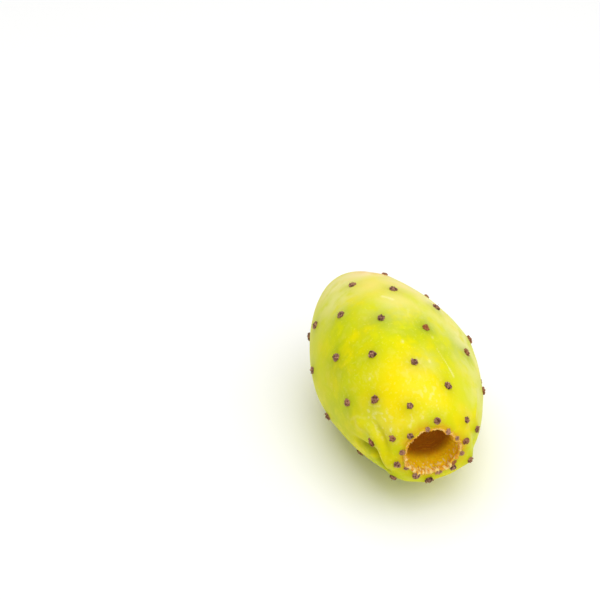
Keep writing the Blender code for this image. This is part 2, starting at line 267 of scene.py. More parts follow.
def turnedMesh(name, rings, attributes):
    # closed mesh of rings, whose first and last ring are one point each
    rows, sides = rings.shape[:2]
    points = np.concatenate([rings[0, :1], rings[1:-1].reshape(-1, 3), rings[-1, :1]]) * mm
    ring = 1 + np.arange((rows - 2) * sides).reshape(rows - 2, sides)
    nextRound = np.roll(ring, -1, axis=1)
    quads = np.stack([ring[:-1], nextRound[:-1], nextRound[1:], ring[1:]], axis=-1).reshape(-1, 4)
    last = len(points) - 1
    stemEnd = [(0, after, before) for before, after in zip(ring[0], nextRound[0])]
    flowerEnd = [(before, after, last) for before, after in zip(ring[-1], nextRound[-1])]
    mesh = bpy.data.meshes.new(name)
    mesh.from_pydata(points.tolist(), [], quads.tolist() + stemEnd + flowerEnd)
    for label, values in attributes.items():
        flat = np.concatenate([values[0, :1], values[1:-1].reshape(-1), values[-1, :1]])
        mesh.attributes.new(label, "FLOAT", "POINT").data.foreach_set("value", flat.astype(np.float32))
    return mesh


def placeOn(along, round):
    # straight place on the plain barrel
    radius = float(barrelRadius(along))
    return np.array([radius * math.cos(math.radians(round)), along, radius * math.sin(math.radians(round))])


def anglesRound(sides):
    return np.arange(sides) * 2 * math.pi / sides


def bell(distance, reach):
    return np.exp(-(distance / reach) ** 2)


def ramp(values, start, over):
    # 0 up to the start, then rising evenly to 1 over that stretch
    return ((values - start) / over).clip(0, 1)


def distanceToPath(points, path):
    # distance of every point from a chain of straight stretches
    nearest = np.full(points.shape[:-1], 1000.0)
    for start, end in zip(path[:-1], path[1:]):
        stretch = end - start
        share = ((points - start) @ stretch / (stretch @ stretch)).clip(0, 1)
        nearest = np.minimum(nearest, np.linalg.norm(points - start - share[..., None] * stretch, axis=-1))
    return nearest


def noiseAt(points, size, shift=0.0):
    # smooth noise from -1 to 1 with lumps about one size across
    flat = points.reshape(-1, 3) / size + shift
    return np.array([noise.noise(Vector(point)) for point in flat]).reshape(points.shape[:-1])


# Steps that the trees share. The first gives every straight piece the fruit's crooked form.

def crookedGrowthGroup():
    inputs = {name: "NodeSocketFloat" for name in crookedForm}
    inputs["Middle"] = "NodeSocketVector"
    tree, given = newTree("crookedGrowth", inputs)
    straight = addNode(tree, "ShaderNodeSeparateXYZ", links={0: tree.nodes.new("GeometryNodeInputPosition")})
    x, along, z = straight.outputs
    turn = addNode(tree, "ShaderNodeMath", {"operation": "ARCTAN2"}, {0: z, 1: x})
    # the section is an oval and very slightly three-sided
    section = 1.0
    for form, lobes in (("Oval", 2), ("Lobe", 3)):
        past = addNode(tree, "ShaderNodeMath", {"operation": "SUBTRACT"},
                       {0: turn, 1: given[form + " Angle"]})
        waves = addNode(tree, "ShaderNodeMath", {"operation": "MULTIPLY"}, {0: past, 1: lobes})
        wave = addNode(tree, "ShaderNodeMath", {"operation": "COSINE"}, {0: waves})
        section = addNode(tree, "ShaderNodeMath", {"operation": "MULTIPLY_ADD"},
                          {0: wave, 1: given[form + " Ratio"], 2: section})
    # the stem end leans aside and up
    reach = addNode(tree, "ShaderNodeMath", {"operation": "DIVIDE"}, {0: along, 1: given["Stem Bend Length"]})
    stemward = addNode(tree, "ShaderNodeMath", {"operation": "MAXIMUM"}, {0: reach, 1: 0.0})
    bend = addNode(tree, "ShaderNodeMath", {"operation": "POWER"}, {0: stemward, 1: 2.0})
    # the rim's plane slopes across X
    back = addNode(tree, "ShaderNodeMath", {"operation": "MULTIPLY"}, {0: along, 1: -1.0})
    flowerward = addNode(tree, "ShaderNodeMath", {"operation": "DIVIDE", "use_clamp": True},
                         {0: back, 1: given["Rim Lean Length"]})
    cubed = addNode(tree, "ShaderNodeMath", {"operation": "POWER"}, {0: flowerward, 1: 3.0})
    lean = addNode(tree, "ShaderNodeMath", {"operation": "MULTIPLY"}, {0: cubed, 1: given["Rim Lean"]})
    newAlong = addNode(tree, "ShaderNodeMath", {"operation": "MULTIPLY_ADD"}, {0: lean, 1: x, 2: along})
    places = []
    for side, bendSize in ((x, "Stem Bend X"), (z, "Stem Bend Z")):
        wide = addNode(tree, "ShaderNodeMath", {"operation": "MULTIPLY"}, {0: side, 1: section})
        places.append(addNode(tree, "ShaderNodeMath", {"operation": "MULTIPLY_ADD"},
                              {0: bend, 1: given[bendSize], 2: wide}))
    crooked = addNode(tree, "ShaderNodeCombineXYZ", links={0: places[0], 1: newAlong, 2: places[1]})
    placed = addNode(tree, "ShaderNodeVectorMath", {"operation": "ADD"}, {0: crooked, 1: given["Middle"]})
    moved = addNode(tree, "GeometryNodeSetPosition", links={
        "Geometry": given["Geometry"], "Position": placed})
    addNode(tree, "NodeGroupOutput", links={0: moved})
    return tree


crookedGrowth = crookedGrowthGroup()


def addRest(tree, geometry):
    # whatever would reach below the table is pressed flat on it
    place = addNode(tree, "ShaderNodeSeparateXYZ", links={0: tree.nodes.new("GeometryNodeInputPosition")})
    x, y, z = place.outputs
    above = addNode(tree, "ShaderNodeMath", {"operation": "MAXIMUM"}, {0: z, 1: 0.0})
    rested = addNode(tree, "ShaderNodeCombineXYZ", links={0: x, 1: y, 2: above})
    return addNode(tree, "GeometryNodeSetPosition", links={"Geometry": geometry, "Position": rested})


def addNearest(tree, surface):
    # the nearest place on a finished piece, and the way that it faces there
    nearest = addNode(tree, "GeometryNodeProximity", {"target_element": "FACES"}, {0: surface})
    normal = addNode(tree, "GeometryNodeSampleNearestSurface", {"data_type": "FLOAT_VECTOR"}, {
        "Mesh": surface, "Value": tree.nodes.new("GeometryNodeInputNormal")})
    return nearest.outputs["Position"], normal.outputs["Value"]


def addOnCircle(tree, angle, radius):
    # the two places across the axis
    across = []
    for operation in ("COSINE", "SINE"):
        wave = addNode(tree, "ShaderNodeMath", {"operation": operation}, {0: angle})
        across.append(addNode(tree, "ShaderNodeMath", {"operation": "MULTIPLY"}, {0: wave, 1: radius}))
    return across


def addStrand(tree, given, kind, sides, taper):
    # one fibre or bristle, standing on Z
    tip = addNode(tree, "ShaderNodeMath", {"operation": "MULTIPLY"}, {0: given[kind + " Radius"], 1: taper})
    return addNode(tree, "GeometryNodeMeshCone", links={
        "Vertices": sides, "Side Segments": 1, "Depth": given[kind + " Length"],
        "Radius Bottom": given[kind + " Radius"], "Radius Top": tip})


def addMarks(tree, geometry, seed, marks):
    # each copy gets a tint of its own, and these marks
    tint = addNode(tree, "FunctionNodeRandomValue", {"data_type": "FLOAT"}, {2: 0.0, 3: 1.0, 8: seed})
    for name, value in {"tint": tint.outputs[1], **marks}.items():
        geometry = addNode(tree, "GeometryNodeStoreNamedAttribute",
                           {"data_type": "FLOAT", "domain": "INSTANCE"},
                           {"Geometry": geometry, "Name": name, "Value": value})
    return geometry


def endTree(tree, geometry, material):
    # whatever the tree made, as one real mesh of one material
    whole = addNode(tree, "GeometryNodeRealizeInstances", links={0: geometry})
    done = addNode(tree, "GeometryNodeSetMaterial", links={"Geometry": whole, "Material": material})
    addNode(tree, "NodeGroupOutput", links={0: done})
    return tree


def addCrookedGrowth(tree, geometry):
    # the group inside another tree, with this fruit's own sizes
    return addNode(tree, "GeometryNodeGroup", {"node_tree": crookedGrowth},
                   {"Geometry": geometry, **crookedForm})


# Areoles: where they sit

areoleSpiral = {
    "numbers": list(range(-8, 47)) + [49, 54],
    "firstAngle": 81.8, "turn": 137.53,
    "firstPlace": -12.5, "step": 1.61,  # along the outline, from the widest ring to the flower
    "lean": (5.3, -2.7), "squeeze": (10.0, -4.9, -3.9),
    "rimNumber": 27,  # from here on they crowd round the rim
    # those that grew off the spiral: millimetres along the outline, degrees round it
    "offSpiral": {
        -8: (-1.7, 6), 0: (1.9, 1), 5: (0, -2), 8: (1.8, 1), 10: (-2.7, -8), 18: (-4.5, -11),
        19: (2.0, -4), 23: (-2.3, -4), 26: (1.1, 3), 27: (5.7, -20), 28: (11.5, 28), 30: (15.2, -10),
        31: (4.8, 6), 32: (0.2, -6), 33: (12.2, 8), 34: (-1.1, 3), 35: (-1.7, 10), 36: (4.3, 16),
        37: (-1.6, 3), 38: (1.4, -4), 39: (0, 7), 40: (-2.6, 14), 43: (-0.8, -27), 44: (0, 11),
        45: (-1.1, 20), 46: (-1.1, -5), 49: (-1.0, 5), 54: (-5.4, 21),
    },
}


def areoleSeats():
    # each areole's place along the axis, radius and angle on the straight fruit
    line = joinLines(scarLine(), barrelLine(), shoulderLine(), lipLine())
    line = line[:int(np.argmin(line[:, 0])) + 1]
    run = lineLengths(line)
    run = run - np.interp(-1e-6, -line[:, 0][len(scarLine()):], run[len(scarLine()):])
    seats = {}
    for number in areoleSpiral["numbers"]:
        angle = math.radians(areoleSpiral["firstAngle"] + areoleSpiral["turn"] * number)
        place = areoleSpiral["firstPlace"] + areoleSpiral["step"] * number
        place += areoleSpiral["lean"][0] * math.sin(angle) + areoleSpiral["lean"][1] * math.cos(angle)
        flank, further, both = areoleSpiral["squeeze"]
        squeeze = (flank + further * number / 20) * math.cos(angle) + both * math.cos(2 * angle)
        along, round = areoleSpiral["offSpiral"].get(number, (0, 0))
        place = min(min(place, run[-1]) + along, run[-1])
        angle += math.radians(squeeze + round)
        seats[number] = (np.interp(place, run, line[:, 0]), np.interp(place, run, line[:, 1]), angle)
    return seats


def isOnLip(seat):
    return math.hypot(seat[0], seat[2]) < fruitForm["lipRadius"] + fruitForm["lipThickness"]


seats = areoleSeats()
seatPlaces = {n: np.array([r * math.cos(a), s, r * math.sin(a)]) for n, (s, r, a) in seats.items()}


# Skin: ripe waxy cuticle, with its mounds, folds and ripening colours

# the fold's two creases, as (along, round)
foldLine = [(-26.0, 191), (-29.5, 190), (-33.0, 189), (-36.4, 187), (-37.3, 196), (-38.4, 208)]
foldSideLine = [(-35.7, 155), (-37.7, 157), (-39.4, 160), (-40.7, 168), (-41.4, 180)]

skinSettings = {
    "sides": 320, "barrelRow": 0.52, "shoulderRow": 0.34, "lipRow": 0.12, "cupRow": 1.2, "scarRow": 0.6,
    "mound": (0.25, 3.2), "rimMound": (0.8, 2.4), "lipMound": 0.4, "lipMoundFade": 3.0,
    # ridges and creases: their line as (along, round), how far they stand out, their reach, and
    # how long they take to rise from the line's first point
    "forms": {
        "foldRidge": ([(-26.5, 171), (-30.3, 167), (-34.3, 164), (-37.4, 166), (-39.2, 174), (-40.1, 185),
                       (-40.9, 198)], 1.2, 1.8, 4.0),
        "foldCrease": ([(-22.0, 192), *foldLine], -1.7, 1.4, 12.0),
        "foldSide": ([(-32.0, 155), *foldSideLine], -0.45, 1.0, 5.0),
        "foldFacet": ([(-30.3, 198), (-33.9, 193), (-37.1, 188)], -0.4, 0.6, 4.0),
        "flankRidge": ([(-25.0, 18), (-31.3, 16), (-35.7, 14)], 0.4, 1.0, 2.0),
        "neckHollow": ([(-38.5, -12), (-39.0, 4), (-38.5, 14)], -1.2, 2.2, 0),
        "underSag": ([(-39.8, 240), (-40.4, 258), (-40.4, 285), (-40.4, 308), (-39.8, 324)], 0.9, 2.4, 0),
    },
    "flutes": 11, "fluteDepth": 0.2, "fluteReach": 1.4, "cuspDepth": 0.8, "cuspReach": 1.05,
    "behindLining": 0.5, "behindFade": 0.6,
    "unevenness": 0.14, "unevenSize": 9.0,
    "haloReach": 3.6, "rimWarmthReach": 1.9,
    # how strongly the skin stays green round an areole
    "halo": {"usual": 0.5, 13: 1.0, 18: 1.0, 8: 0.8, 5: 0.8, 3: 0.3, -8: 0.2, -5: 0.3},
    # soft zones of colour: along, round, reach, strength
    "yellow": [(-31, 101, 11, 1.0), (-37, 120, 8, 0.9), (-25, 108, 6, 0.6), (-35, 80, 8, 0.8),
               (-40, 135, 7, 0.8), (-39, 160, 4, 0.6), (-39.5, 190, 5, 0.8), (-41, 35, 6, 0.6),
               (28, 85, 3.5, 0.9), (24, 75, 3, 0.6)],
    "green": [(-11, 77, 7, 1.0), (-13, 44, 8, 0.9), (-9, 97, 8, 0.8), (-14, 87, 8, 0.8), (-9, 114, 8, 0.7),
              (-23, 78, 7, 0.6), (-19, 62, 7, 0.6), (0, 128, 9, 0.6), (-12, 145, 9, 0.8), (-36, 205, 8, 0.8),
              (-20, 180, 12, 0.6)],
    "peach": [(24, 100, 8, 1.0), (25, 91, 7, 1.0), (21, 75, 8, 0.9), (13, 74, 9, 0.8),
              (11, 99, 7, 0.4), (0, 87, 7, 0.35), (6, 60, 8, 0.5), (38, 90, 10, 0.5)],
    # wax bloom, partly painted highlight: these pale patches also stand for the gloss's soft glints on the
    # upper and right side
    "bloomAndGlint": [(-17, 25, 9, 0.6), (-25, 10, 9, 0.6), (-6, 50, 8, 0.6), (-5, 33, 9, 1.0), (-3, 64, 7, 0.4),
              (-10, 12, 9, 0.7), (-25, 80, 4, 0.3), (-3, 95, 8, 0.3), (22, 125, 8, 0.9), (12, 128, 8, 0.7),
              (7, 45, 9, 0.9)],
    # where the wax is broken into small pale flecks
    "fleck": [(-32.5, 150, 3.5, 0.8), (-36, 147, 3.5, 1.0), (-39, 148, 3, 1.0), (-27, 95, 4, 0.5),
              (-33, 104, 3, 0.5), (-36, 87, 4, 0.6), (-39, 84, 3.5, 0.6), (-41.7, 120, 2.4, 0.8),
              (-41.8, 100, 2.4, 0.6), (-20, 150, 5, 0.15), (-24, 128, 4, 0.25), (-6, 80, 6, 0.25)],
    # where the skin is golden: round the rim, and at one spot near the stem
    "golden": [(26, 82, 5, 0.9)],
    # marks along a line: its (along, round), width and strength. The first three are scratches; the pale arc
    # over the fold's bulge and the four short specks are painted highlights
    "scratchesAndGlints": [([(-19.5, 69), (-21.2, 66.5), (-23.2, 62.5), (-25.2, 58.5)], 0.16, 0.4),
                  ([(-25.2, 58.5), (-26.5, 55.5), (-27.7, 53)], 0.24, 0.8),
                  ([(2.2, 98), (1.2, 95), (-0.2, 92)], 0.4, 0.8),
                  ([(-25.6, 173), (-28.0, 163.5), (-31.0, 158.5)], 0.3, 0.2),
                  ([(-18.0, 97), (-18.3, 97)], 0.35, 0.6), ([(-25.0, 79.5), (-25.4, 79.5)], 0.45, 0.6),
                  ([(-24.5, 132), (-24.7, 132)], 0.3, 0.8), ([(-15.3, 70.5), (-15.6, 70.5)], 0.4, 0.4)],
    # painted shade and greener skin along the fold's creases: their line, width and strength
    "creases": [(foldLine, 1.6, 0.65), ([(-33.6, 155), *foldSideLine], 0.8, 0.25)],
}


def risen(points, start, rise):
    # 0 at the start of a line, 1 from one rise away
    if rise == 0:
        return 1.0
    share = ramp(np.linalg.norm(points - start, axis=-1), 0, rise)
    return share * share * (3 - 2 * share)


def skinRelief(points):
    # how far the skin stands out at each straight place
    wide = skinSettings
    height = np.zeros(points.shape[:-1])
    for number, seat in seatPlaces.items():
        tall, reach = wide["rimMound"] if number >= areoleSpiral["rimNumber"] else wide["mound"]
        if isOnLip(seat):
            tall = wide["lipMound"]
        height = np.maximum(height, tall * bell(np.linalg.norm(points - seat, axis=-1), reach))
    for path, tall, reach, rise in wide["forms"].values():
        line = [placeOn(*place) for place in path]
        height += tall * risen(points, line[0], rise) * bell(distanceToPath(points, line), reach)
    return height


def lipFlutes(line, round):
    # the lip is drawn in and out round its ring, and each areole on it pinches a cusp into the mouth
    offLip = np.hypot(line[:, 0] + fruitForm["rimDistance"], line[:, 1] - fruitForm["lipRadius"])
    flutes = skinSettings["flutes"]
    wave = np.sin(flutes * round) + 0.8 * np.sin((flutes - 4) * round + 2.0)
    fluted = skinSettings["fluteDepth"] * bell(offLip, skinSettings["fluteReach"])[:, None] * wave
    points = turnedPoints(line, round)
    cusps = np.zeros(points.shape[:-1])
    for seat in seatPlaces.values():
        if isOnLip(seat):
            cusps = np.maximum(cusps, bell(np.linalg.norm(points - seat, axis=-1), skinSettings["cuspReach"]))
    return fluted - skinSettings["cuspDepth"] * cusps


def raisedRings(line, round):
    # rings of skin with its relief, still straight
    outward = outwardOf(line)
    foot = int(np.argmax(line[:, 0] <= -fruitForm["rimDistance"] + 1e-6))
    outward[0] = (1, 0)
    outward[foot:] = (-1, 0)
    inCup = (line[:, 1] < fruitForm["lipRadius"]) & (line[:, 0] < 0)
    depth = np.where(inCup, line[:, 0] + fruitForm["rimDistance"], 0.0)
    fade = (1 - depth / skinSettings["lipMoundFade"]).clip(0, 1)
    height = skinRelief(turnedPoints(line, round)) * fade[:, None]
    radius = line[:, 1][:, None] + height * outward[:, 1][:, None] + lipFlutes(line, round)
    radius = np.where(line[:, 1][:, None] > 0, radius, 0.0)
    along = line[:, 0][:, None] + height * outward[:, 0][:, None]
    return np.stack([radius * np.cos(round), along, radius * np.sin(round)], axis=-1)


def setBack(line):
    # behind the lining the flesh starts a little deeper, so that it never shows through
    back = line - outwardOf(line) * skinSettings["behindLining"]
    share = ramp(line[:, 0], -fruitForm["rimDistance"], skinSettings["behindFade"])[:, None]
    deeper = line * (1 - share) + back * share
    deeper[-1, 1] = 0
    return deeper


def zoneStrength(points, zones):
    strength = np.zeros(points.shape[:-1])
    for along, round, reach, most in zones:
        near = bell(np.linalg.norm(points - placeOn(along, round), axis=-1), reach)
        strength = np.maximum(strength, most * near)
    return strength


skinZones = ("yellow", "green", "peach", "bloomAndGlint", "fleck")
skinMasks = (*skinZones, "halo", "scratchAndGlint", "crease", "rimWarmth")


def skinPaint(points):
    # soft masks that the skin's material turns into colour
    paint = {zone: zoneStrength(points, skinSettings[zone]) for zone in skinZones}
    halo = np.zeros(points.shape[:-1])
    for number, seat in seatPlaces.items():
        most = skinSettings["halo"].get(number, skinSettings["halo"]["usual"])
        near = bell(np.linalg.norm(points - seat, axis=-1), skinSettings["haloReach"])
        halo = np.maximum(halo, most * near)
    paint["halo"] = halo
    for name, lines in (("scratchAndGlint", skinSettings["scratchesAndGlints"]), ("crease", skinSettings["creases"])):
        paint[name] = np.zeros(points.shape[:-1])
        for path, width, most in lines:
            line = [placeOn(*place) for place in path]
            rise = 4 * width if name == "crease" else 0
            near = risen(points, line[0], rise) * bell(distanceToPath(points, line), width)
            paint[name] = np.maximum(paint[name], most * near)
    lipDistance = np.hypot(points[..., 1] + fruitForm["rimDistance"],
                           np.hypot(points[..., 0], points[..., 2]) - fruitForm["lipRadius"])
    paint["rimWarmth"] = np.maximum(bell(lipDistance, skinSettings["rimWarmthReach"]),
                                    zoneStrength(points, skinSettings["golden"]))
    return paint


def skinTree(material):
    tree, given = newTree("skinGrowth", {"Unevenness": "NodeSocketFloat", "Uneven Size": "NodeSocketFloat"})
    crooked = addCrookedGrowth(tree, given["Geometry"])
    # the skin is never quite even: it swells and sinks a little everywhere
    scale = addNode(tree, "ShaderNodeMath", {"operation": "DIVIDE"}, {0: 1.0, 1: given["Uneven Size"]})
    swell = addNode(tree, "ShaderNodeTexNoise", links={
        "Vector": tree.nodes.new("GeometryNodeInputPosition"), "Scale": scale, "Detail": 2.0})
    centred = addNode(tree, "ShaderNodeMath", {"operation": "SUBTRACT"}, {0: swell, 1: 0.5})
    amount = addNode(tree, "ShaderNodeMath", {"operation": "MULTIPLY"}, {0: centred, 1: given["Unevenness"]})
    outward = addNode(tree, "ShaderNodeVectorMath", {"operation": "SCALE"},
                      {0: tree.nodes.new("GeometryNodeInputNormal"), "Scale": amount})
    uneven = addNode(tree, "GeometryNodeSetPosition", links={"Geometry": crooked, "Offset": outward})
    smooth = addNode(tree, "GeometryNodeSetShadeSmooth", links={0: addRest(tree, uneven)})
    return endTree(tree, smooth, material)


# Ripe cactus pear cuticle: a thin wax coat over soft, juicy flesh. The wax gives a
# satin gloss with pale edges, and the flesh glows a little where light enters it.
cuticleSettings = {
    # the crease olive stands for greener skin and painted shade in the fold's creases
    "leaf": "#d9dc03", "ripe": "#fde202", "green": "#a2ba16", "haloGreen": "#8aa228", "crease": "#8a8a0c",
    # the bloom colour is pale wax bloom, also used as painted glints
    # the scar colour is the pale of the scratches and of the painted highlights along lines
    "peach": "#f8e0a0", "wax": "#ece472", "bloomAndGlint": "#f0eaa2", "rim": "#e8b01e", "scar": "#f6f0b4",
    "roughness": (0.37, 0.51), "specular": 0.1, "glossTint": "#fff08c",
    "glow": 0.25, "glowReach": (2.5, 1.875, 0.3),  # red, green and blue light, in millimetres
    "cloudSize": 15, "mottleSize": 4.5, "mottleDepth": 0.12, "stippleSize": 0.8,
    "fleckSize": 1.3, "fleckStretch": 0.5,  # flecks of wax are drawn out along the fruit
    "poreSize": 0.45, "poreDepth": 0.02,
}


def cuticleMaterial():
    look = cuticleSettings
    material, tree, masks = newMaterial("waxyCuticle", skinMasks)
    patterns = addPatterns(tree, look, {
        "cloud": (2, 0.55), "mottle": (2, 0.55), "stipple": (1, 0.55), "fleck": (3, 0.5), "pore": (2, 0.5)})
    cloud, mottle = patterns["cloud"], patterns["mottle"]
    clouded = addNode(tree, "ShaderNodeMapRange", {"interpolation_type": "SMOOTHSTEP"},
                      {0: cloud, 1: 0.45, 2: 0.7, 3: 0.0, 4: 0.4})
    ripeness = addNode(tree, "ShaderNodeMath", {"operation": "ADD", "use_clamp": True},
                       {0: masks["yellow"], 1: clouded})
    colour = layColours(tree, look, hexColour(look["leaf"]), (
        ("ripe", even, 0.0, 1.0, 0.0, 1.0, ripeness),
        ("green", mottle, 0.25, 0.6, 0.0, 0.7, masks["green"]),
        ("peach", cloud, 0.2, 0.6, 0.0, 1.0, masks["peach"]),
        ("haloGreen", even, 0.0, 1.0, 0.0, 0.62, masks["halo"]),
        ("wax", mottle, 0.5, 0.8, 0.0, 0.22, None),
        # wax bloom with painted glints
        ("bloomAndGlint", mottle, 0.25, 0.6, 0.0, 0.8, masks["bloomAndGlint"]),
        ("bloomAndGlint", patterns["fleck"], 0.5, 0.66, 0.12, 0.72, masks["fleck"]),
        ("wax", patterns["stipple"], 0.58, 0.8, 0.0, 0.25, None),
        # greener skin and painted shade along the fold's creases
        ("crease", even, 0.0, 1.0, 0.0, 1.0, masks["crease"]),
        ("rim", mottle, 0.3, 0.62, 0.0, 0.85, masks["rimWarmth"]),
        # pale scratches and painted highlights
        ("scar", even, 0.0, 1.0, 0.0, 0.8, masks["scratchAndGlint"]),
    ))
    fine = addNode(tree, "ShaderNodeBump", links={
        "Height": patterns["pore"], "Strength": 0.25, "Distance": look["poreDepth"] * mm})
    soft = addNode(tree, "ShaderNodeBump", links={
        "Height": mottle, "Strength": 0.3, "Distance": look["mottleDepth"] * mm, "Normal": fine})
    gloss = addNode(tree, "ShaderNodeMapRange", links={
        0: mottle, 1: 0.3, 2: 0.7, 3: look["roughness"][0], 4: look["roughness"][1]})
    shader = addNode(tree, "ShaderNodeBsdfPrincipled", links={
        "Base Color": colour, "Roughness": gloss, "Normal": soft,
        "Specular IOR Level": look["specular"], "Specular Tint": hexColour(look["glossTint"]),
        "Subsurface Weight": look["glow"], "Subsurface Radius": look["glowReach"],
        "Subsurface Scale": 1 * mm})
    addNode(tree, "ShaderNodeOutputMaterial", links={"Surface": shader})
    return material


def growSkin():
    wide = skinSettings
    line = joinLines(
        evenly(scarLine(), wide["scarRow"]), evenly(barrelLine(), wide["barrelRow"]),
        evenly(shoulderLine(), wide["shoulderRow"]), evenly(lipLine(), wide["lipRow"]),
        setBack(evenly(cupLine(), wide["cupRow"])))
    round = anglesRound(wide["sides"])
    rings = raisedRings(line, round)
    mesh = turnedMesh("fruitSkin", rings, skinPaint(turnedPoints(line, round)))
    sizes = {"Unevenness": wide["unevenness"] * mm, "Uneven Size": wide["unevenSize"] * mm}
    return grow("fruitSkin", mesh, skinTree(cuticleMaterial()), sizes)


skin = growSkin()
declare(skin)


def pieceTree(name, material):
    # crooked like the fruit, smooth, and of one material
    tree, given = newTree(name, {})
    crooked = addCrookedGrowth(tree, given["Geometry"])
    smooth = addNode(tree, "GeometryNodeSetShadeSmooth", links={0: addRest(tree, crooked)})
    return endTree(tree, smooth, material)


# Stem scar: the corky disc where the fruit was cut from its pad

scarSettings = {
    "sides": 120, "row": 0.2, "proud": 0.16, "depth": 0.5, "edge": 0.3,
    "lumps": 0.22, "lumpSize": 1.3, "rings": 0.08, "ringSize": 1.1,
}


def scarRings(round):
    # across the dished face to its edge, then back just inside the flesh
    face = evenly(scarLine(), scarSettings["row"])
    rise = scarSettings["proud"] * (face[:, 1] < fruitForm["scarRadius"] - scarSettings["edge"])
    front = face + outwardOf(face) * rise[:, None]
    back = evenly(face - np.array([scarSettings["depth"], 0.0]), 1.0)[::-1]
    front[0, 1] = back[-1, 1] = 0
    line = np.concatenate([front, back])
    placed = turnedPoints(line, round)
    radius = line[:, 1][:, None] + 0 * round
    size = scarSettings["lumpSize"]
    lump = noiseAt(placed, size, 2.0) + 0.5 * noiseAt(placed, size / 3, 8.0)
    ringed = np.sin((radius + 0.5 * lump) * 2 * math.pi / scarSettings["ringSize"])
    height = scarSettings["lumps"] * lump + scarSettings["rings"] * ringed
    height[len(front):] = 0
    placed[..., 1] += height
    placed[0], placed[-1] = placed[0].mean(axis=0), placed[-1].mean(axis=0)
    return placed, {"lump": lump + 0.4 * ringed, "outAt": radius / fruitForm["scarRadius"]}


# Dry cork over cut fibres: quite matt, tan, darker in its cracks and pale at the rim
corkLook = {
    "tan": "#ccaa70", "crack": "#7c5c34", "rim": "#e8d8a0",
    "roughness": 0.8, "specular": 0.2, "grainSize": 0.35, "grainDepth": 0.1,
}


def corkMaterial():
    look = corkLook
    material, tree, masks = newMaterial("dryStemCork", ("lump", "outAt"))
    grain = addPatterns(tree, look, {"grain": (3, 0.5)})["grain"]
    colour = layColours(tree, look, hexColour(look["tan"]), (
        ("crack", masks["lump"], -0.1, -0.7, 0.0, 0.7, None),
        ("crack", grain, 0.62, 0.8, 0.0, 0.35, None),
        ("rim", masks["outAt"], 0.7, 0.95, 0.0, 0.95, None),
    ))
    bump = addNode(tree, "ShaderNodeBump", links={
        "Height": grain, "Strength": 0.5, "Distance": look["grainDepth"] * mm})
    shader = addNode(tree, "ShaderNodeBsdfPrincipled", links={
        "Base Color": colour, "Roughness": look["roughness"], "Normal": bump,
        "Specular IOR Level": look["specular"]})
    addNode(tree, "ShaderNodeOutputMaterial", links={"Surface": shader})
    return material


def growScar():
    mesh = turnedMesh("stemScar", *scarRings(anglesRound(scarSettings["sides"])))
    return grow("stemScar", mesh, pieceTree("scarGrowth", corkMaterial()), {})


# Cup lining: the dry, fibrous skin of the hollow that the flower left

liningSettings = {
    "sides": 260, "row": 0.2, "proud": 0.12, "depth": 0.6,
    "wallRidges": 0.16, "ridgeSize": 0.55, "floorWrinkles": 0.07, "wrinkleSize": 0.8,
    # from which depth, and over how much of it, the wall begins and ends and the floor begins
    "wallStart": (-0.3, 1.2), "wallEnd": (6.0, 3.0), "floorStart": (5.5, 2.5),
    "ridgeStretch": (8.0, 0.22),  # ridges as on a ring of this radius, drawn out down the wall
    # how far the floor's wrinkles stray, and over what distance
    "wander": (0.9, 3.5), "tremble": (0.3, 1.1), "wrinklePatch": 1.9,
    "lumpSize": 1.6, "grain": 0.10, "grainSize": 0.6,
    "frayHeight": 0.5, "fraySize": 0.55, "frayReach": 0.7,
    # pale shreds on the wall, most of them low down near the lip
    "shredHeight": 0.18, "shredSize": 0.55, "shredDepth": 4.2, "shredLevel": (0.38, 0.2), "shredLow": 0.42,
}


def liningLine():
    # over the lip, down the wall and across the floor, then back just inside the flesh
    face = joinLines(lipLine()[28:], cupLine())
    face = evenly(face, liningSettings["row"])
    run = lineLengths(face)
    outward = outwardOf(face)
    rise = liningSettings["proud"] * (run / 0.8).clip(0, 1)
    front = face + outward * rise[:, None]
    back = face - outward * (liningSettings["depth"] * (run / 1.2).clip(0.15, 1))[:, None]
    front[-1, 1] = 0
    back[-1, 1] = 0
    back = evenly(back, 1.0)
    return np.concatenate([back[::-1], front]), len(back)


